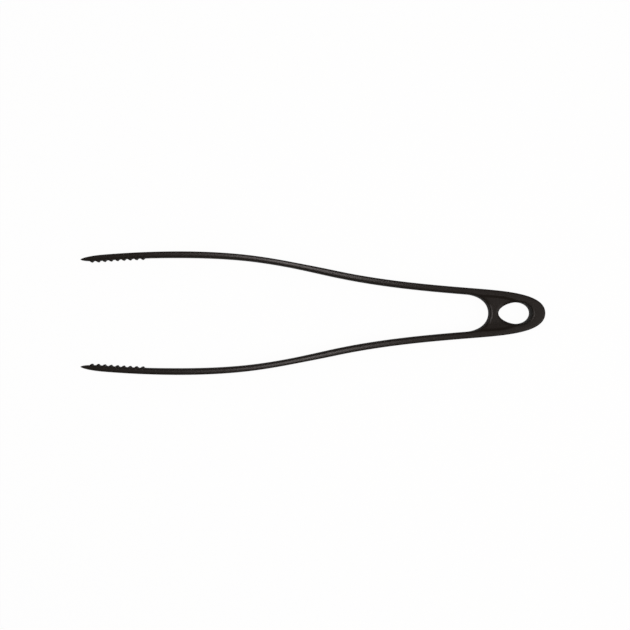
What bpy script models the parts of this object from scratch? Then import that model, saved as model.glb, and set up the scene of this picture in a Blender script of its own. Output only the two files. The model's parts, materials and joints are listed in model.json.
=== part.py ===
"""Aquascaping tweezers, moulded in one piece from black plastic: CAD solids.

The tweezers lie flat on the XY plane with the head at +X, the tips at -X and the plate's depth along Z.
The real thing is a single moulding that bends, so its solids are lengths of that moulding, parted at the
lines it bends about: the head, and for each arm a spring leaf, a finger grip and a forearm with its jaw.
"""
import math

import bmesh
import bpy
from mathutils import Matrix, Vector
from mathutils.geometry import interpolate_bezier

MM = 0.001

# Depth of the moulding at its head and at its tips, and the rounding of every moulded edge
DEPTH = 10 * MM
TIP_DEPTH = 6 * MM
EDGE_RADIUS = 1.2 * MM

# Head, from its rounded end back to the arms' roots: end wall, hanging eye, neck and crotch
END_WALL = 8.35 * MM
EYE_LENGTH = 21.5 * MM
EYE_HEIGHT = 13.8 * MM
EYE_SKEW = 0.14
NECK = 5.5 * MM
CROTCH_LENGTH = 13.95 * MM
CROTCH_FULLNESS = 0.57
END_FULLNESS = 12.9 * MM
SHOULDER_LENGTH = 24 * MM

# Web between the crotch and the eye, sunk below a rim on both faces that bends in above the eye
RECESS_DEPTH = 1.3 * MM
RECESS_FILLET = 0.5 * MM
RIM_WIDTH = 4.3 * MM
RIM_BEND_RADIUS = 32 * MM

# Arm, from its root to its tip: how far along each stretch of its curve reaches
FLARE_REACH = 85.2 * MM
ELBOW_REACH = 59.2 * MM
CROWN_REACH = 43.1 * MM
JAW_REACH = 63.2 * MM

# How far the arm's centre line stands from the middle of the tweezers, and its flare, at those stations
ROOT_OFFSET = 14.2 * MM
FLARE_OFFSET = 25.2 * MM
ELBOW_OFFSET = 35.88 * MM
CROWN_OFFSET = 37.91 * MM
TIP_OFFSET = 34.65 * MM
ROOT_FLARE = 0.08
MID_FLARE = 0.212
ELBOW_FLARE = 0.105
TOE_IN = 0.108

# Arm thickness, in the plane of the bow, and how its nose rounds off
ROOT_THICKNESS = 4.25 * MM
FLARE_THICKNESS = 4.2 * MM
WAIST_THICKNESS = 3.7 * MM
CROWN_THICKNESS = 4.12 * MM
JAW_THICKNESS = 3.8 * MM
NOSE_LENGTH = 15 * MM
NOSE_DEPTH_SHARE = 0.7

# Jaw teeth, from the tip backwards
TOOTH_COUNT = 9
TOOTH_HEIGHT = 0.97 * MM
TOOTH_WIDTH = 3 * MM
TOOTH_VALLEY = 1.14 * MM
PLAIN_NOSE = 5.14 * MM

# Bend lines: how far each lies from the arm's root, how far it bends, and the play left when it has
ROOT_BEND_REACH = 16 * MM
GRIP_BEND_REACH = 50 * MM
FOREARM_BEND_REACH = 99 * MM
ROOT_BEND = math.radians(6.39)
GRIP_BEND_SHARE = 1 / 3
FOREARM_BEND = math.radians(8)
CLEARANCE = 0.15 * MM

# Look of the plastic
PLASTIC_COLOUR = (0.022, 0.020, 0.018, 1)
PLASTIC_ROUGHNESS = 0.45

# Fineness of the solids
CORNER_STEPS = 2
RING_SPACING = 5 * MM
NOSE_RING_COUNT = 5
END_POINT_COUNT = 24
CROTCH_POINT_COUNT = 12
EYE_POINT_COUNT = 28
SMOOTH_ANGLE = math.radians(50)

head_length = END_WALL + EYE_LENGTH + NECK + CROTCH_LENGTH
arm_reach = FLARE_REACH + ELBOW_REACH + CROWN_REACH + JAW_REACH
head_end = (head_length + arm_reach) / 2
eye_end = head_end - END_WALL
eye_start = eye_end - EYE_LENGTH
crotch = eye_start - NECK
root = crotch - CROTCH_LENGTH
flare = root - FLARE_REACH
elbow = flare - ELBOW_REACH
crown = elbow - CROWN_REACH
tip = crown - JAW_REACH
middle = DEPTH / 2
tooth_pitch = TOOTH_WIDTH + TOOTH_VALLEY
tooth_places = [tip + PLAIN_NOSE + TOOTH_WIDTH / 2 + i * tooth_pitch for i in range(TOOTH_COUNT)]

arm_stations = [
    (root, ROOT_OFFSET, -ROOT_FLARE),
    (flare, FLARE_OFFSET, -MID_FLARE),
    (elbow, ELBOW_OFFSET, -ELBOW_FLARE),
    (crown, CROWN_OFFSET, 0),
    (tip, TIP_OFFSET, TOE_IN),
]
arm_thicknesses = [
    (root, ROOT_THICKNESS),
    (flare, FLARE_THICKNESS),
    ((flare + elbow) / 2, WAIST_THICKNESS),
    (crown, CROWN_THICKNESS),
    (tip + NOSE_LENGTH, JAW_THICKNESS),
]


def share_between(x, start, end):
    return min(1, max(0, (x - start) / (end - start)))


def eased(share):
    return share * share * (3 - 2 * share)


def stretch_at(x, stations):
    """The pair of neighbouring stations that x lies between."""
    for near, far in zip(stations, stations[1:]):
        if x >= far[0]:
            return near, far
    return stations[-2], stations[-1]


def arm_offset(x):
    near, far = stretch_at(x, arm_stations)
    run = far[0] - near[0]
    t = (x - near[0]) / run
    if t < 0:
        return near[1] + (x - near[0]) * near[2]
    start = (1 + 2 * t) * (1 - t) ** 2 * near[1] + t * (1 - t) ** 2 * run * near[2]
    return start + t * t * (3 - 2 * t) * far[1] - t * t * (1 - t) * run * far[2]


def arm_slope(x):
    step = 0.01 * MM
    return (arm_offset(x + step) - arm_offset(x - step)) / (2 * step)


def nose_share(x):
    """Elliptical rounding of the jaw's nose: 1 along the arm, falling towards 0 at the tip."""
    past = share_between(x, tip + NOSE_LENGTH, tip)
    return math.sqrt(max(0, 1 - past * past))


def arm_thickness(x):
    near, far = stretch_at(x, arm_thicknesses)
    share = eased(share_between(x, near[0], far[0]))
    return (near[1] + (far[1] - near[1]) * share) * nose_share(x)


def arm_depth(x):
    share = eased(share_between(x, root - FOREARM_BEND_REACH, tip))
    rounding = NOSE_DEPTH_SHARE + (1 - NOSE_DEPTH_SHARE) * nose_share(x)
    return (DEPTH + (TIP_DEPTH - DEPTH) * share) * rounding


def tooth_rise(x):
    nearest = min(abs(x - place) for place in tooth_places)
    return TOOTH_HEIGHT * max(0, 1 - nearest / (TOOTH_WIDTH / 2))


def arm_point(x, across, side):
    """A plan point beside the centre line: across is positive outwards, side is +1 for the upper arm."""
    outwards = Vector((-arm_slope(x), 1)).normalized()
    point = Vector((x, arm_offset(x))) + outwards * across
    return Vector((point.x, side * point.y))


def arm_ring(x, side):
    """One rounded rectangle across the arm; the inner wall is pushed in where there is a tooth."""
    half_thickness = arm_thickness(x) / 2
    half_depth = arm_depth(x) / 2
    radius = min(EDGE_RADIUS, 0.9 * half_thickness, 0.9 * half_depth)
    ring = []
    for corner in range(4):
        for i in range(CORNER_STEPS + 1):
            angle = math.radians(90) * (corner + i / CORNER_STEPS)
            right = 1 if corner in (0, 3) else -1
            up = 1 if corner in (0, 1) else -1
            across = right * (half_thickness - radius) + radius * math.cos(angle)
            height = up * (half_depth - radius) + radius * math.sin(angle)
            if right < 0:
                across -= tooth_rise(x) * abs(math.cos(angle))
            plan = arm_point(x, across, side)
            ring.append(Vector((plan.x, plan.y, middle + height)))
    return ring


def ring_places(start, end):
    """Where a length of arm is cut into rings: evenly, and closer along the teeth and the nose."""
    count = max(2, round((start - end) / RING_SPACING))
    places = [start + (end - start) * i / count for i in range(count)]
    teeth_end = tooth_places[-1] + TOOTH_WIDTH
    if end > teeth_end:
        return places + [end]
    places = [x for x in places if x > teeth_end]
    for place in reversed(tooth_places):
        places += [place + TOOTH_WIDTH / 2, place, place - TOOTH_WIDTH / 2]
    for i in range(1, NOSE_RING_COUNT + 1):
        turn = math.radians(90) * i / (NOSE_RING_COUNT + 0.5)
        places.append(tip + PLAIN_NOSE * (1 - math.sin(turn)))
    return places


def plain_material(name):
    material = bpy.data.materials.new(name)
    material.use_nodes = True
    shader = material.node_tree.nodes["Principled BSDF"]
    shader.inputs["Base Color"].default_value = PLASTIC_COLOUR
    shader.inputs["Roughness"].default_value = PLASTIC_ROUGHNESS
    return material


def add_object(name, mesh):
    obj = bpy.data.objects.new(name, mesh)
    bpy.context.collection.objects.link(obj)
    return obj


def add_length(name, start, end, side):
    """A closed length of arm between two places on its centre line."""
    bm = bmesh.new()
    rings = [[bm.verts.new(point) for point in arm_ring(x, side)] for x in ring_places(start, end)]
    for ring, following in zip(rings, rings[1:]):
        for i in range(len(ring)):
            bm.faces.new((ring[i - 1], ring[i], following[i], following[i - 1]))
    bm.faces.new(rings[0])
    bm.faces.new(rings[-1])
    bmesh.ops.recalc_face_normals(bm, faces=bm.faces)
    mesh = bpy.data.meshes.new(name)
    bm.to_mesh(mesh)
    bm.free()
    mesh.shade_smooth()
    mesh.set_sharp_from_angle(angle=SMOOTH_ANGLE)
    mesh.materials.append(plain_material(name + "_plastic"))
    return add_object(name, mesh)


def plate_mesh(name, outlines, height, radius):
    """A filled flat plate centred on the mid plane, its edges rounded by the curve's own bevel."""
    curve = bpy.data.curves.new(name + "_outline", "CURVE")
    curve.dimensions = "2D"
    curve.fill_mode = "BOTH"
    curve.extrude = height / 2 - radius
    curve.bevel_depth = radius
    curve.bevel_resolution = CORNER_STEPS - 1
    curve.offset = -radius
    for outline in outlines:
        spline = curve.splines.new("POLY")
        spline.points.add(len(outline) - 1)
        for point, place in zip(spline.points, outline):
            point.co = (place[0], place[1], 0, 1)
        spline.use_cyclic_u = True
    guide = add_object(name + "_guide", curve)
    mesh = bpy.data.meshes.new_from_object(guide.evaluated_get(bpy.context.evaluated_depsgraph_get()))
    bpy.data.objects.remove(guide)
    bm = bmesh.new()
    bm.from_mesh(mesh)
    bmesh.ops.remove_doubles(bm, verts=bm.verts, dist=0.005 * MM)
    bmesh.ops.recalc_face_normals(bm, faces=bm.faces)
    bmesh.ops.translate(bm, verts=bm.verts, vec=(0, 0, middle))
    bm.to_mesh(mesh)
    bm.free()
    mesh.name = name
    return mesh


def add_cutter(name, mesh):
    cutter = add_object(name, mesh)
    cutter.hide_render = True
    cutter.display_type = "WIRE"
    return cutter


def cut_away(obj, cutter):
    cut = obj.modifiers.new(cutter.name, "BOOLEAN")
    cut.operation = "DIFFERENCE"
    cut.solver = "EXACT"
    cut.object = cutter


def mirrored(half):
    """A half outline from the middle line upwards, joined to its own mirror image."""
    return half + [Vector((p.x, -p.y)) for p in reversed(half) if abs(p.y) > 0.01 * MM]


def flex_gap(x, bend):
    return CLEARANCE + arm_thickness(x) / 2 * math.tan(bend)


for old in list(bpy.data.objects):
    bpy.data.objects.remove(old)

root_bend_x = root - ROOT_BEND_REACH
grip_bend_x = root - GRIP_BEND_REACH
forearm_bend_x = root - FOREARM_BEND_REACH
root_gap = flex_gap(root_bend_x, ROOT_BEND)
grip_gap = flex_gap(grip_bend_x, GRIP_BEND_SHARE * ROOT_BEND)
forearm_gap = flex_gap(forearm_bend_x, FOREARM_BEND)

# Head: its outline runs a little past the root bend lines, where it is cut square across the arms
stub_end = root_bend_x - 2 * EDGE_RADIUS
shoulder = arm_point(root, arm_thickness(root) / 2, 1)
armpit = arm_point(root, -arm_thickness(root) / 2, 1)
slant = Vector((1, -ROOT_FLARE))
outer_edge = [arm_point(stub_end, arm_thickness(stub_end) / 2, 1)]
shoulder_pull = shoulder + SHOULDER_LENGTH * slant
end_pull = Vector((head_end, END_FULLNESS))
outer_edge += interpolate_bezier(shoulder, shoulder_pull, end_pull, Vector((head_end, 0)), END_POINT_COUNT)
crotch_pull = Vector((crotch, CROTCH_FULLNESS * armpit.y))
armpit_pull = armpit + CROTCH_FULLNESS * CROTCH_LENGTH * slant
inner_edge = interpolate_bezier(Vector((crotch, 0)), crotch_pull, armpit_pull, armpit, CROTCH_POINT_COUNT)
inner_edge += [arm_point(stub_end, -arm_thickness(stub_end) / 2, 1)]
half_head = [Vector((p.x, p.y)) for p in inner_edge + outer_edge]
head_outline = half_head + [Vector((p.x, -p.y)) for p in reversed(half_head[1:-1])]

eye_outline = []
for i in range(EYE_POINT_COUNT):
    turn = 2 * math.pi * i / EYE_POINT_COUNT
    eye_x = (eye_start + eye_end) / 2 + EYE_LENGTH / 2 * math.cos(turn)
    eye_y = EYE_HEIGHT / 2 * math.sin(turn) * (1 + EYE_SKEW * math.cos(turn))
    eye_outline.append(Vector((eye_x, -eye_y)))

head = add_object("head", plate_mesh("head", [head_outline, eye_outline], DEPTH, EDGE_RADIUS))
head.data.materials.append(plain_material("head_plastic"))

# The web between crotch and eye is sunk below the rim on both faces
web_start = root + CROTCH_LENGTH / 2
half_web = [Vector((web_start, 0))]
for x in [web_start] + [eye_start + EYE_LENGTH * i / 4 for i in range(4)]:
    past_eye_start = max(0, x - eye_start)
    rim_line = shoulder.y - ROOT_FLARE * (x - root) - RIM_WIDTH
    half_web.append(Vector((x, rim_line - past_eye_start ** 2 / (2 * RIM_BEND_RADIUS))))
web_outline = mirrored(half_web)
for face, face_height in (("top", DEPTH), ("bottom", 0)):
    web_mesh = plate_mesh("web_recess_" + face, [web_outline], 2 * RECESS_DEPTH, RECESS_FILLET)
    web_mesh.transform(Matrix.Translation((0, 0, face_height - middle)))
    cut_away(head, add_cutter("web_recess_" + face, web_mesh))

for side, prefix in ((1, "upper"), (-1, "lower")):
    # The head's stub ends square to the arm, half a gap short of the bend line
    cut_length = 2 * (root_bend_x - stub_end)
    bm = bmesh.new()
    bmesh.ops.create_cube(bm, size=1)
    bmesh.ops.scale(bm, verts=bm.verts, vec=(cut_length, 2 * ROOT_THICKNESS, 2 * DEPTH))
    bmesh.ops.translate(bm, verts=bm.verts, vec=(root_gap / 2 - cut_length / 2, 0, 0))
    stub_cut = bpy.data.meshes.new(prefix + "_stub_cut")
    bm.to_mesh(stub_cut)
    bm.free()
    lean = Matrix.Rotation(side * math.atan(arm_slope(root_bend_x)), 4, "Z")
    place = Matrix.Translation((root_bend_x, side * arm_offset(root_bend_x), middle))
    stub_cut.transform(place @ lean)
    cut_away(head, add_cutter(prefix + "_stub_cut", stub_cut))

    # Each length of arm hangs from an empty on the bend line at its head end
    parent = head
    lengths = (
        ("leaf", root_bend_x, root_gap, grip_bend_x + grip_gap / 2),
        ("grip", grip_bend_x, grip_gap, forearm_bend_x + forearm_gap / 2),
        ("forearm", forearm_bend_x, forearm_gap, tip),
    )
    for length, bend_x, gap, end in lengths:
        bend_line = add_object(prefix + "_" + length + "_bend_line", None)
        bend_line.empty_display_size = DEPTH
        bend_line.parent = parent
        bend_place = Matrix.Translation((bend_x, side * arm_offset(bend_x), middle))
        bend_line.matrix_world = bend_place
        bpy.context.view_layer.update()
        piece = add_length(prefix + "_" + length, bend_x - gap / 2, end, side)
        piece.data.transform(bend_place.inverted())
        piece.parent = bend_line
        parent = bend_line
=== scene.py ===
"""The looks of the aquascaping tweezers: one black plastic moulding that bends, lying on a pale floor."""

import json
import math

import bmesh
import bpy
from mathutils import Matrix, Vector
from mathutils.geometry import delaunay_2d_cdt, interpolate_bezier
from mathutils.kdtree import KDTree


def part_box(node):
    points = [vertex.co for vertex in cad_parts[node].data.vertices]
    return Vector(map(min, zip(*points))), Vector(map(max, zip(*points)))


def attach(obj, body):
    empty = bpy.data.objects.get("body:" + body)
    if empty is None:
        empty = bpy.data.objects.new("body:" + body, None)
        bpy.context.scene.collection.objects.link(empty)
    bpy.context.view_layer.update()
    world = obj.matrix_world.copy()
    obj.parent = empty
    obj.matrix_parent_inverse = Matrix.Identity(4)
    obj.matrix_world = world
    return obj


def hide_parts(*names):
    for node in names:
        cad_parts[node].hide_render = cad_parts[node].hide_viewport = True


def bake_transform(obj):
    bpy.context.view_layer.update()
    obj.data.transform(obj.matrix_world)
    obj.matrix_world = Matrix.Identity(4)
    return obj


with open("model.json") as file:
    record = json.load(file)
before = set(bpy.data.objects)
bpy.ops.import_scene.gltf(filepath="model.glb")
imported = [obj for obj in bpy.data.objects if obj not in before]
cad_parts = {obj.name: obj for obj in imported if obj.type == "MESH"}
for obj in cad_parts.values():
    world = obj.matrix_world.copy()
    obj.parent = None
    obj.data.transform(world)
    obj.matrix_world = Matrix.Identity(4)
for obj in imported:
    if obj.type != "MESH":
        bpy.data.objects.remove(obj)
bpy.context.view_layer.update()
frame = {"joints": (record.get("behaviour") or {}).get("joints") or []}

# Head
# The blunt end of the moulding. A raised rim runs on from both arms and round the hanging eye, and a sunk
# web closes the crotch. It is moulded in black nylon between two steel halves, which part at mid depth.
MM = 0.001
head_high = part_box("head")[1]
depth = head_high.z
mid_height = depth / 2
head_end = head_high.x

# Along the middle, from the blunt end, and the egg shape of the eye
END_WALL = 8.35 * MM
EYE_LENGTH = 21.5 * MM
EYE_HEIGHT = 13.8 * MM
EYE_SKEW = 0.14
NECK = 5.5 * MM
CROTCH_LENGTH = 13.95 * MM

# How far the curves of the outline run on straight before they turn, and where the arms start
CROTCH_FULLNESS = 0.57
END_FULLNESS = 12.9 * MM
SHOULDER_LENGTH = 24 * MM
ROOT_OFFSET = 14.2 * MM
ROOT_FLARE = 0.08
ROOT_THICKNESS = 4.25 * MM

# Points along half of the outside, half of the crotch and all round the eye
OUTER_POINT_COUNT = 90
CROTCH_POINT_COUNT = 44
EYE_POINT_COUNT = 128

# Where the eye, the crotch and the roots of the arms lie, from the blunt end
eye_end = head_end - END_WALL
eye_start = eye_end - EYE_LENGTH
crotch = eye_start - NECK
root = crotch - CROTCH_LENGTH

# Every moulded edge is rounded over: tightly along the outside, further in from the inner walls and the eye
OUTER_EDGE_REACH = 1.3 * MM
INNER_EDGE_REACH = 2.5 * MM
EDGE_FALL = 1.2 * MM
EDGE_FULLNESS = 2.6
EDGE_STEPS = 12

# The mould halves leave a fine raised line round every wall
PARTING_WIDTH = 0.16 * MM
PARTING_HEIGHT = 0.04 * MM

# The web lies below the rim on both faces: a soft step, which turns in to the eye, and then a shallow dish
WEB_DEPTH = 1.3 * MM
WEB_STEP = 2.2 * MM
STEP_SHARE = 0.4
STEP_ROWS = 8
DISH_REACH = 7 * MM
RIM_WIDTH = 3.2 * MM
WEB_START = 1 * MM
WEB_RUN_IN = 11 * MM
WEB_END = 11 * MM
WEB_RUN_OUT = 6 * MM
RIM_BEND_RADIUS = 32 * MM

# Fineness of the faces between the rounded edges, and the angle from which an edge is shaded as sharp
SURFACE_SPACING = 0.55 * MM
TRIANGLE_HEIGHT = math.sqrt(0.75)
EDGE_MARGIN = 0.6
MERGE_DISTANCE = 1e-7
SHARP_ANGLE = math.radians(50)

# Black nylon: satin faces, duller walls darkened by painted shade, and edges rubbed a little lighter
FACE_COLOUR = (0.0192, 0.0136, 0.0096)
SHADED_WALL_COLOUR = (0.0108, 0.0082, 0.0062)
RUBBED_COLOUR = (0.030, 0.024, 0.018)
FACE_ROUGHNESS = 0.29
ROUGHNESS_SWING = 0.03
WALL_ROUGHNESS = 0.9
NYLON_IOR = 1.45
PLASTIC_SHEEN = 0.4
MOST_RUBBED = 0.5

# Its spark-eroded grain, and the streaks that the plastic leaves as it flows along the mould
GRAIN_PER_METRE = 3200
GRAIN_DETAIL = 3
GRAIN_STRENGTH = 0.12
GRAIN_HEIGHT = 0.03 * MM
STREAKS_PER_METRE = (60, 420, 420)
STREAK_DETAIL = 5
STREAK_DISTORTION = 0.6
STREAK_RANGE = (0.3, 0.7)


def smooth_share(value):
    """A share held between 0 and 1 that starts and ends gently."""
    value = min(1, max(0, value))
    return value * value * (3 - 2 * value)


def edge_rows():
    """Shares of reach and fall down a rounded edge, from the wall up to the flat face."""
    rows = []
    for i in range(EDGE_STEPS + 1):
        turn = math.pi / 2 * i / EDGE_STEPS
        reach = 1 - abs(math.cos(turn)) ** (2 / EDGE_FULLNESS)
        fall = 1 - abs(math.sin(turn)) ** (2 / EDGE_FULLNESS)
        rows.append((reach, fall))
    return rows


def side_normals(path, side, closed, end_normal=None):
    """Unit vectors square to a path, on its left (+1) or right (-1); an open path's ends can be given."""
    normals = []
    for i, point in enumerate(path):
        before = path[i - 1] if closed or i else point
        after = path[(i + 1) % len(path)] if closed or i + 1 < len(path) else point
        along = (after - before).normalized()
        normals.append(Vector((-along.y, along.x)) * side)
    if end_normal:
        normals[0] = end_normal
        normals[-1] = Vector((end_normal.x, -end_normal.y))
    return normals


def both_sides(half):
    """An upper half path that ends on the middle line, carried on through its mirror image."""
    return half + [Vector((p.x, -p.y)) for p in reversed(half[:-1])]


def rim_line(x):
    """How far from the middle the step down from the rim begins: straight, then bent in to the eye."""
    bent = max(0, x - eye_start) ** 2 / (2 * RIM_BEND_RADIUS)
    return shoulder.y - ROOT_FLARE * (x - root) - RIM_WIDTH - bent


def web_level(x, y):
    """How far the surface lies below the rim's level at a place on the head."""
    inside = rim_line(x) - abs(y)
    step = STEP_SHARE * smooth_share(inside / WEB_STEP)
    dish = (1 - STEP_SHARE) * smooth_share(inside / DISH_REACH)
    run_in = smooth_share((x - root - WEB_START) / WEB_RUN_IN)
    run_out = smooth_share((x - eye_start - WEB_END) / WEB_RUN_OUT)
    return WEB_DEPTH * (step + dish) * run_in * (1 - run_out)


def moulded_plastic(name):
    """Satin black nylon: fine spark-eroded grain, faint flow streaks, walls darkened by painted shade and
    lighter rubbed edges.
    """
    material = bpy.data.materials.new(name)
    material.use_nodes = True
    nodes, links = material.node_tree.nodes, material.node_tree.links
    shader = nodes["Principled BSDF"]
    shader.inputs["IOR"].default_value = NYLON_IOR
    shader.inputs["Specular IOR Level"].default_value = PLASTIC_SHEEN
    place = nodes.new("ShaderNodeTexCoord")

    # Grain
    grain = nodes.new("ShaderNodeTexNoise")
    grain.inputs["Scale"].default_value = GRAIN_PER_METRE
    grain.inputs["Detail"].default_value = GRAIN_DETAIL
    links.new(place.outputs["Object"], grain.inputs["Vector"])
    bump = nodes.new("ShaderNodeBump")
    bump.inputs["Strength"].default_value = GRAIN_STRENGTH
    bump.inputs["Distance"].default_value = GRAIN_HEIGHT
    links.new(grain.outputs["Fac"], bump.inputs["Height"])
    links.new(bump.outputs["Normal"], shader.inputs["Normal"])

    # Streaks vary the gloss of the faces, and the walls are duller
    stretch = nodes.new("ShaderNodeMapping")
    stretch.inputs["Scale"].default_value = STREAKS_PER_METRE
    links.new(place.outputs["Object"], stretch.inputs["Vector"])
    streaks = nodes.new("ShaderNodeTexNoise")
    streaks.inputs["Scale"].default_value = 1
    streaks.inputs["Detail"].default_value = STREAK_DETAIL
    streaks.inputs["Distortion"].default_value = STREAK_DISTORTION
    links.new(stretch.outputs["Vector"], streaks.inputs["Vector"])
    steepness = nodes.new("ShaderNodeAttribute")
    steepness.attribute_name = "steepness"
    rough = nodes.new("ShaderNodeMapRange")
    rough.inputs["From Min"].default_value = STREAK_RANGE[0]
    rough.inputs["From Max"].default_value = STREAK_RANGE[1]
    rough.inputs["To Min"].default_value = FACE_ROUGHNESS - ROUGHNESS_SWING
    rough.inputs["To Max"].default_value = FACE_ROUGHNESS + ROUGHNESS_SWING
    links.new(streaks.outputs["Fac"], rough.inputs["Value"])
    dulled = nodes.new("ShaderNodeMix")
    dulled.inputs["B"].default_value = WALL_ROUGHNESS
    links.new(steepness.outputs["Fac"], dulled.inputs["Factor"])
    links.new(rough.outputs["Result"], dulled.inputs["A"])
    links.new(dulled.outputs["Result"], shader.inputs["Roughness"])

    # Colour from face to wall, the walls darkened by painted shade, lighter where the edge between them is
    # rubbed
    edge = nodes.new("ShaderNodeMath")
    edge.operation = "PINGPONG"
    edge.inputs[1].default_value = MOST_RUBBED
    links.new(steepness.outputs["Fac"], edge.inputs[0])
    rubbed = nodes.new("ShaderNodeMath")
    rubbed.operation = "MULTIPLY"
    links.new(edge.outputs["Value"], rubbed.inputs[0])
    links.new(streaks.outputs["Fac"], rubbed.inputs[1])
    wall_shade_mix = nodes.new("ShaderNodeMix")
    wall_shade_mix.data_type = "RGBA"
    wall_shade_mix.inputs["A"].default_value = (*FACE_COLOUR, 1)
    wall_shade_mix.inputs["B"].default_value = (*SHADED_WALL_COLOUR, 1)
    links.new(steepness.outputs["Fac"], wall_shade_mix.inputs["Factor"])
    colour = nodes.new("ShaderNodeMix")
    colour.data_type = "RGBA"
    colour.inputs["B"].default_value = (*RUBBED_COLOUR, 1)
    links.new(rubbed.outputs["Value"], colour.inputs["Factor"])
    links.new(wall_shade_mix.outputs["Result"], colour.inputs["A"])
    links.new(colour.outputs["Result"], shader.inputs["Base Color"])
    return material


def finished_piece(name, bm, edge_values):
    """Turns a moulded shape into a smooth-shaded piece; edge_values runs from 0 on faces to 1 on walls."""
    bmesh.ops.recalc_face_normals(bm, faces=bm.faces)
    mesh = bpy.data.meshes.new(name)
    bm.to_mesh(mesh)
    bm.free()
    mesh.shade_smooth()
    mesh.set_sharp_from_angle(angle=SHARP_ANGLE)
    attribute = mesh.attributes.new("steepness", "FLOAT", "POINT")
    attribute.data.foreach_set("value", edge_values)
    mesh.materials.append(black_nylon)
    piece = bpy.data.objects.new(name, mesh)
    bpy.context.scene.collection.objects.link(piece)
    return piece


black_nylon = moulded_plastic("black_nylon")
outwards = Vector((ROOT_FLARE, 1)).normalized()
slant = Vector((1, -ROOT_FLARE))
shoulder = Vector((root, ROOT_OFFSET)) + outwards * ROOT_THICKNESS / 2
armpit = Vector((root, ROOT_OFFSET)) - outwards * ROOT_THICKNESS / 2
outer_half = interpolate_bezier(shoulder, shoulder + SHOULDER_LENGTH * slant,
                                Vector((head_end, END_FULLNESS)), Vector((head_end, 0)), OUTER_POINT_COUNT)
crotch_half = interpolate_bezier(armpit, armpit + CROTCH_FULLNESS * CROTCH_LENGTH * slant,
                                 Vector((crotch, CROTCH_FULLNESS * armpit.y)), Vector((crotch, 0)),
                                 CROTCH_POINT_COUNT)
outer_path = both_sides([Vector((p.x, p.y)) for p in outer_half])
crotch_path = both_sides([Vector((p.x, p.y)) for p in crotch_half])
eye_path = []
for i in range(EYE_POINT_COUNT):
    turn = 2 * math.pi * i / EYE_POINT_COUNT
    eye_x = (eye_start + eye_end) / 2 + EYE_LENGTH / 2 * math.cos(turn)
    eye_y = EYE_HEIGHT / 2 * math.sin(turn) * (1 + EYE_SKEW * math.cos(turn))
    eye_path.append(Vector((eye_x, eye_y)))

# Plan of one face: rows of points up the rounding of every edge, then an even scatter over what is left
walls = [
    (outer_path, side_normals(outer_path, -1, False, -outwards), OUTER_EDGE_REACH, False),
    (crotch_path, side_normals(crotch_path, 1, False, outwards), INNER_EDGE_REACH, False),
    (eye_path, side_normals(eye_path, -1, True), INNER_EDGE_REACH, True),
]
plan, falls, lines, wall_rows = [], [], [], []
for path, normals, edge_reach, closed in walls:
    for reach, fall in edge_rows():
        first = len(plan)
        inset = PARTING_HEIGHT + reach * edge_reach
        plan += [point + normal * inset for point, normal in zip(path, normals)]
        falls += [fall] * len(path)
        row = list(range(first, len(plan)))
        lines += list(zip(row, row[1:]))
        if closed:
            lines.append((row[-1], row[0]))
        wall_rows.append(row)
rows_per_wall = len(edge_rows())

# Where the arms go on, a line across each stub closes the plan
stub_ends = []
for end in (0, -1):
    across = [row[end] for row in wall_rows[:rows_per_wall]]
    across += [row[end] for row in reversed(wall_rows[rows_per_wall:2 * rows_per_wall])]
    lines += list(zip(across, across[1:]))
    stub_ends.append(across)

# The scatter keeps clear of the innermost rows, and lies in rows of its own down the step of the web
guards = []
for row, (_, normals, _, _) in zip(wall_rows[rows_per_wall - 1::rows_per_wall], walls):
    guards += [(plan[i], normal) for i, normal in zip(row, normals)]
guard_tree = KDTree(len(guards))
for i, (point, _) in enumerate(guards):
    guard_tree.insert(point.to_3d(), i)
guard_tree.balance()
row_spacing = SURFACE_SPACING * TRIANGLE_HEIGHT
spots = []
for i in range(1, round((head_end - root) / SURFACE_SPACING)):
    for j in range(-round(head_high.y / row_spacing), round(head_high.y / row_spacing)):
        spot = Vector((root + (i + 0.5 * (j % 2)) * SURFACE_SPACING, j * row_spacing))
        down_step = rim_line(spot.x) - abs(spot.y)
        if not -SURFACE_SPACING < down_step < WEB_STEP + SURFACE_SPACING:
            spots.append(spot)
    x = root + i * SURFACE_SPACING
    for j in range(STEP_ROWS + 1):
        y = max(0, rim_line(x) - WEB_STEP * j / STEP_ROWS)
        spots += [Vector((x, y)), Vector((x, -y))]
for spot in spots:
    near, guard, _ = guard_tree.find(spot.to_3d())
    if (spot - near.to_2d()).dot(guards[guard][1]) > EDGE_MARGIN * SURFACE_SPACING:
        plan.append(spot)
        falls.append(0)

# Triangles inside the outline; those that span the eye are dropped
INSIDE_LINES = 1
flat_points, _, triangles, origins, _, _ = delaunay_2d_cdt(plan, lines, [], INSIDE_LINES, MERGE_DISTANCE)
place_of = {source: i for i, sources in enumerate(origins) for source in sources}
fall_of = [falls[sources[0]] if sources else 0 for sources in origins]
eye_wall = {place_of[i] for i in wall_rows[2 * rows_per_wall]}
triangles = [corners for corners in triangles if not eye_wall.issuperset(corners)]

# Both faces from the one plan
head_mesh = bmesh.new()
head_edge_values = []
faces = {1: {}, -1: {}}
used = sorted({i for corners in triangles for i in corners})
for up in (1, -1):
    for i in used:
        point = flat_points[i]
        half_height = mid_height - web_level(point.x, point.y) - EDGE_FALL * fall_of[i]
        faces[up][i] = head_mesh.verts.new((point.x, point.y, mid_height + up * half_height))
        head_edge_values.append(fall_of[i])
    for corners in triangles:
        head_mesh.faces.new([faces[up][i] for i in corners])

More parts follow.
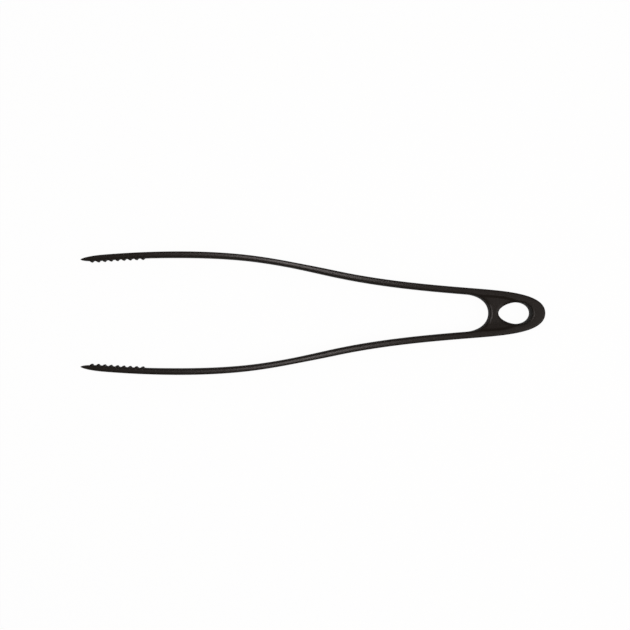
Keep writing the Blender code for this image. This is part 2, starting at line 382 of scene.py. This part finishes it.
# Walls between the faces, with the parting line halfway down
wall_levels = []
for wall, (path, normals, _, closed) in enumerate(walls):
    row = [place_of[i] for i in wall_rows[wall * rows_per_wall]]
    levels = [[faces[1][i] for i in row]]
    for height, inset in ((PARTING_WIDTH, PARTING_HEIGHT), (0, 0), (-PARTING_WIDTH, PARTING_HEIGHT)):
        level = []
        for point, normal in zip(path, normals):
            spot = point + normal * inset
            level.append(head_mesh.verts.new((spot.x, spot.y, mid_height + height)))
            head_edge_values.append(1)
        levels.append(level)
    levels.append([faces[-1][i] for i in row])
    wall_levels.append(levels)
    for upper, lower in zip(levels, levels[1:]):
        for i in range(0 if closed else 1, len(path)):
            head_mesh.faces.new((upper[i - 1], upper[i], lower[i], lower[i - 1]))

# Flat ends of the stubs, hidden behind the arms
outer_levels, crotch_levels, _ = wall_levels
for end, across in zip((0, -1), stub_ends):
    border = [faces[1][place_of[i]] for i in across]
    border += [level[end] for level in crotch_levels[1:-1]]
    border += [faces[-1][place_of[i]] for i in reversed(across)]
    border += [level[end] for level in reversed(outer_levels[1:-1])]
    head_mesh.faces.new(border)
head_piece = finished_piece("head_moulding", head_mesh, head_edge_values)
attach(head_piece, "head")
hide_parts("head")

# Arms
# Two mirrored spring arms of the same moulding. Each bows out from the head past an elbow to its crown, and
# toes in to a toothed jaw. An arm bends along its length, so its skin is three lengths, split between its
# bend lines.
SKIN_SLACK = 0.02 * MM
nose_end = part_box("upper_forearm")[0].x + SKIN_SLACK

# Stations along the arm, each one's distance from the middle and slope, and the arm's thickness
FLARE_REACH = 85.2 * MM
ELBOW_REACH = 59.2 * MM
CROWN_REACH = 43.1 * MM
JAW_REACH = 63.2 * MM
FLARE_OFFSET = 25.2 * MM
ELBOW_OFFSET = 35.88 * MM
CROWN_OFFSET = 37.91 * MM
TIP_OFFSET = 34.65 * MM
MID_FLARE = 0.212
ELBOW_FLARE = 0.105
TOE_IN = 0.108
FLARE_THICKNESS = 4.2 * MM
WAIST_THICKNESS = 3.7 * MM
CROWN_THICKNESS = 4.12 * MM
JAW_THICKNESS = 3.8 * MM

# The tip thins in both directions and rounds off in a nose
NOSE_LENGTH = 15 * MM
NOSE_DEPTH_SHARE = 0.7
TIP_DEPTH = 6 * MM

# Where the stations lie
flare = root - FLARE_REACH
elbow = flare - ELBOW_REACH
crown = elbow - CROWN_REACH
tip = crown - JAW_REACH

# Jaw teeth, from the tip backwards, which fade out up the rounding of the edges
TOOTH_COUNT = 9
TOOTH_HEIGHT = 0.97 * MM
TOOTH_WIDTH = 3 * MM
TOOTH_VALLEY = 1.14 * MM
TOOTH_HOLLOW = 1.3
TOOTH_FADE = 0.6
PLAIN_NOSE = 5.14 * MM
tooth_pitch = TOOTH_WIDTH + TOOTH_VALLEY
first_tooth = tip + PLAIN_NOSE + TOOTH_WIDTH / 2

# How far each bend spreads to either side of its line
ROOT_SPREAD = 15.5 * MM
GRIP_SPREAD = 15.5 * MM
FOREARM_SPREAD = 28 * MM

# Most that the edges and the parting line take up where the arm is thin, as shares of its half sizes
EDGE_ROOM = 1.9
FALL_ROOM = 0.6
PARTING_ROOM = 0.1

# Fineness along the arm
RING_SPACING = 1 * MM
TOOTH_STEPS = 16
NOSE_STEPS = 14

bow_stations = [
    (root, ROOT_OFFSET, -ROOT_FLARE),
    (flare, FLARE_OFFSET, -MID_FLARE),
    (elbow, ELBOW_OFFSET, -ELBOW_FLARE),
    (crown, CROWN_OFFSET, 0),
    (tip, TIP_OFFSET, TOE_IN),
]
thickness_stations = [
    (root, ROOT_THICKNESS),
    (flare, FLARE_THICKNESS),
    ((flare + elbow) / 2, WAIST_THICKNESS),
    (crown, CROWN_THICKNESS),
    (tip + NOSE_LENGTH, JAW_THICKNESS),
]
bends = {joint["name"]: Vector(joint["pos_m"]) for joint in frame["joints"]}


def stretch_at(x, stations):
    """The neighbouring stations that x lies between."""
    for near, far in zip(stations, stations[1:]):
        if x >= far[0]:
            return near, far
    return stations[-2], stations[-1]


def bow(x):
    """The arm's centre line: how far it stands from the middle at x, and its slope there."""
    (near_x, near_offset, near_slope), (far_x, far_offset, far_slope) = stretch_at(x, bow_stations)
    run = far_x - near_x
    t = (x - near_x) / run
    offset = (1 + 2 * t) * (1 - t) ** 2 * near_offset + t * (1 - t) ** 2 * run * near_slope
    offset += t * t * (3 - 2 * t) * far_offset - t * t * (1 - t) * run * far_slope
    slope = 6 * t * (1 - t) * (far_offset - near_offset) / run
    slope += (1 - t) * (1 - 3 * t) * near_slope + t * (3 * t - 2) * far_slope
    return offset, slope


def nose_share(x):
    """The share of the arm's full size at x: less than 1 only where the nose rounds off."""
    past = min(1, max(0, (tip + NOSE_LENGTH - x) / NOSE_LENGTH))
    return math.sqrt(max(0, 1 - past * past))


def arm_thickness(x):
    """The arm's size at x in the plane of the bow."""
    (near_x, near_thickness), (far_x, far_thickness) = stretch_at(x, thickness_stations)
    share = smooth_share((x - near_x) / (far_x - near_x))
    return (near_thickness + (far_thickness - near_thickness) * share) * nose_share(x)


def arm_depth(x, taper_start):
    """The arm's size at x square to the plane of the bow, which tapers from taper_start to the tip."""
    share = smooth_share((taper_start - x) / (taper_start - tip))
    rounding = NOSE_DEPTH_SHARE + (1 - NOSE_DEPTH_SHARE) * nose_share(x)
    return (depth + (TIP_DEPTH - depth) * share) * rounding


def tooth_rise(x):
    """Height of the tooth at x: a rounded peak with hollow flanks, nothing between the teeth."""
    nearest = min(TOOTH_COUNT - 1, max(0, round((x - first_tooth) / tooth_pitch)))
    off = abs(x - first_tooth - nearest * tooth_pitch) / (TOOTH_WIDTH / 2)
    return TOOTH_HEIGHT * smooth_share(1 - off) ** TOOTH_HOLLOW


def arm_ring(x, side, taper_start):
    """Points round the arm at x, with how rounded each one's place is."""
    slack = SKIN_SLACK * min(1, (root - x) / FLARE_REACH) * nose_share(x)
    crest = arm_thickness(x) / 2 - slack
    half_thickness = crest - min(PARTING_HEIGHT, PARTING_ROOM * crest)
    half_depth = arm_depth(x, taper_start) / 2
    room = min(1, EDGE_ROOM * half_thickness / (OUTER_EDGE_REACH + INNER_EDGE_REACH))
    edge_fall = min(EDGE_FALL, FALL_ROOM * half_depth)
    outer, inner = [], []
    for quarter, edge_reach in ((outer, OUTER_EDGE_REACH), (inner, INNER_EDGE_REACH)):
        quarter.append((half_thickness, PARTING_WIDTH, 1))
        for reach, fall in edge_rows():
            across = half_thickness - room * edge_reach * reach
            quarter.append((across, half_depth - edge_fall * fall, fall))
    inner = [(-across, height, rounded) for across, height, rounded in inner]
    upper = [(crest, 0, 1)] + outer + inner[::-1]
    lower = [(-crest, 0, 1)] + inner + outer[::-1]
    lower = [(across, -height, rounded) for across, height, rounded in lower]
    offset, slope = bow(x)
    outward = Vector((-slope, 1)).normalized()
    ring = []
    for across, height, rounded in upper + lower:
        if across < 0:
            on_edge = abs(height) > half_depth - edge_fall
            across -= tooth_rise(x) * (rounded ** TOOTH_FADE if on_edge else 1)
        spot = Vector((x, offset)) + outward * across
        ring.append(((spot.x, side * spot.y, mid_height + height), rounded))
    return ring


def ring_places(start, end):
    """Where rings lie along a length of arm: evenly, closer along the teeth and closing up at the nose."""
    teeth_end = first_tooth + TOOTH_COUNT * tooth_pitch
    plain_end = max(end, teeth_end)
    count = max(2, round((start - plain_end) / RING_SPACING))
    places = [start + (plain_end - start) * i / count for i in range(count + 1)]
    if end < teeth_end:
        teeth_start = first_tooth - tooth_pitch / 2
        count = TOOTH_STEPS * TOOTH_COUNT
        places += [teeth_end + (teeth_start - teeth_end) * (i + 1) / count for i in range(count)]
        for i in range(1, NOSE_STEPS + 1):
            turn = math.pi / 2 * i / NOSE_STEPS
            places.append(nose_end + (teeth_start - nose_end) * (1 - math.sin(turn)))
    return places


def arm_length(name, start, end, side, taper_start):
    """One closed length of arm, lofted through rings from start to end."""
    arm = bmesh.new()
    edge_values = []
    rings = []
    for x in ring_places(start, end):
        ring = arm_ring(x, side, taper_start)
        rings.append([arm.verts.new(point) for point, _ in ring])
        edge_values += [rounded for _, rounded in ring]
    for ring, following in zip(rings, rings[1:]):
        for i in range(len(ring)):
            arm.faces.new((ring[i - 1], ring[i], following[i], following[i - 1]))
    arm.faces.new(rings[0])
    arm.faces.new(rings[-1])
    return finished_piece(name, arm, edge_values)


def on_bow(x, side):
    """The point of an arm's centre line at x."""
    return (x, side * bow(x)[0], mid_height)


for side, prefix in ((1, "upper"), (-1, "lower")):
    root_bend = bends[prefix + "_root_bend"].x
    grip_bend = bends[prefix + "_grip_bend"].x
    forearm_bend = bends[prefix + "_forearm_bend"].x
    leaf_seam = (root_bend + grip_bend) / 2
    grip_seam = (grip_bend - GRIP_SPREAD + forearm_bend + FOREARM_SPREAD) / 2
    lengths = (
        ("root", root, leaf_seam, root_bend, ROOT_SPREAD, "head", "leaf"),
        ("middle", leaf_seam, grip_seam, grip_bend, GRIP_SPREAD, "leaf", "grip"),
        ("reach", grip_seam, nose_end, forearm_bend, FOREARM_SPREAD, "grip", "forearm"),
    )
    for name, start, end, bend, spread, near_body, far_body in lengths:
        piece = arm_length(prefix + "_arm_" + name, start, end, side, forearm_bend)
        near_body = near_body if near_body == "head" else prefix + "_" + near_body
        far_body = prefix + "_" + far_body
        on_bow(bend + spread, side)
        on_bow(bend - spread, side)
        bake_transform(piece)
        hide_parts(far_body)

# Studio
# A pale floor just under the part, and slightly warm light: a small box above the camera, a sail overhead
# and a bank past either end. The camera looks straight down from about half a metre, as in the photograph.
FLOOR_SIZE = 30
FLOOR_GAP = 0.02 * MM
FLOOR_COLOUR = (0.86, 0.86, 0.86)
FLOOR_GLOW = 1.08
FLOOR_WHITENESS = 0.88
floor_mesh = bpy.data.meshes.new("floor")
half = FLOOR_SIZE / 2
floor_corners = [(-half, -half, 0), (half, -half, 0), (half, half, 0), (-half, half, 0)]
floor_mesh.from_pydata(floor_corners, [], [(0, 1, 2, 3)])
floor = bpy.data.objects.new("floor", floor_mesh)
floor.location.z = -FLOOR_GAP
bpy.context.scene.collection.objects.link(floor)
floor_paint = bpy.data.materials.new("floor_paint")
floor_paint.use_nodes = True
paint_nodes, paint_links = floor_paint.node_tree.nodes, floor_paint.node_tree.links
paint_nodes.remove(paint_nodes["Principled BSDF"])
matt = paint_nodes.new("ShaderNodeBsdfDiffuse")
matt.inputs["Color"].default_value = (*FLOOR_COLOUR, 1)
white = paint_nodes.new("ShaderNodeEmission")
white.inputs["Strength"].default_value = FLOOR_GLOW

# Looked at or mirrored, the floor is mostly a white glow; all other light meets matt paint
ray = paint_nodes.new("ShaderNodeLightPath")
seen = paint_nodes.new("ShaderNodeMath")
seen.operation = "MAXIMUM"
paint_links.new(ray.outputs["Is Camera Ray"], seen.inputs[0])
mirrored = paint_nodes.new("ShaderNodeMath")
mirrored.operation = "MAXIMUM"
paint_links.new(ray.outputs["Is Glossy Ray"], mirrored.inputs[0])
paint_links.new(ray.outputs["Is Transmission Ray"], mirrored.inputs[1])
paint_links.new(mirrored.outputs["Value"], seen.inputs[1])
share = paint_nodes.new("ShaderNodeMath")
share.operation = "MULTIPLY"
share.inputs[1].default_value = FLOOR_WHITENESS
paint_links.new(seen.outputs["Value"], share.inputs[0])
mix = paint_nodes.new("ShaderNodeMixShader")
paint_links.new(share.outputs["Value"], mix.inputs["Fac"])
paint_links.new(matt.outputs["BSDF"], mix.inputs[1])
paint_links.new(white.outputs["Emission"], mix.inputs[2])
paint_links.new(mix.outputs["Shader"], paint_nodes["Material Output"].inputs["Surface"])
floor_mesh.materials.append(floor_paint)

# Lamps, and the faint light of the room
LAMP_COLOUR = (1, 0.92, 0.905)
ROOM_COLOUR = (1, 1, 1)
ROOM_GLOW = 0.12


def box_light(name, place, aim, width, height, power):
    """A rectangular lamp at a place, in metres, turned to face its aim; power is in watts."""
    lamp = bpy.data.lights.new(name, "AREA")
    lamp.shape = "RECTANGLE"
    lamp.size = width
    lamp.size_y = height
    lamp.energy = power
    lamp.color = LAMP_COLOUR
    light = bpy.data.objects.new(name, lamp)
    light.location = place
    light.rotation_euler = (Vector(aim) - Vector(place)).to_track_quat("-Z", "Y").to_euler()
    bpy.context.scene.collection.objects.link(light)


box_light("camera_box", place=(-0.045, 0.06, 0.72), aim=(-0.012, 0.009, 0),
          width=0.16, height=0.2, power=0.95)
box_light("overhead_sail", place=(0.25, 0, 0.95), aim=(0.25, 0, 0), width=1.1, height=0.8, power=0.6)
box_light("head_bank", place=(0.65, -0.2, 0.62), aim=(0.1, 0, 0), width=0.4, height=0.7, power=1.05)
box_light("tip_bank", place=(-0.75, 0, 0.65), aim=(-0.05, 0, 0), width=0.4, height=0.7, power=0.2)
world = bpy.data.worlds.new("dim_room")
world.use_nodes = True
background = world.node_tree.nodes["Background"]
background.inputs["Color"].default_value = (*ROOM_COLOUR, 1)
background.inputs["Strength"].default_value = ROOM_GLOW
bpy.context.scene.world = world

# Camera, placed by the photograph's width and the part's middle in it, both in pixels
PHOTO_WIDTH = 630
MM_PER_PIXEL = 0.6493
PHOTO_MIDDLE = (312.4, 313.15)
CAMERA_HEIGHT = 0.48
camera = bpy.data.objects.new("camera", bpy.data.cameras.new("camera"))
camera.location.x = (PHOTO_WIDTH / 2 - PHOTO_MIDDLE[0]) * MM_PER_PIXEL * MM
camera.location.y = (PHOTO_MIDDLE[1] - PHOTO_WIDTH / 2) * MM_PER_PIXEL * MM
camera.location.z = mid_height + CAMERA_HEIGHT
camera.data.lens = camera.data.sensor_width * CAMERA_HEIGHT / (PHOTO_WIDTH * MM_PER_PIXEL * MM)
bpy.context.scene.collection.objects.link(camera)
bpy.context.scene.camera = camera
bpy.context.scene.view_settings.view_transform = "Standard"
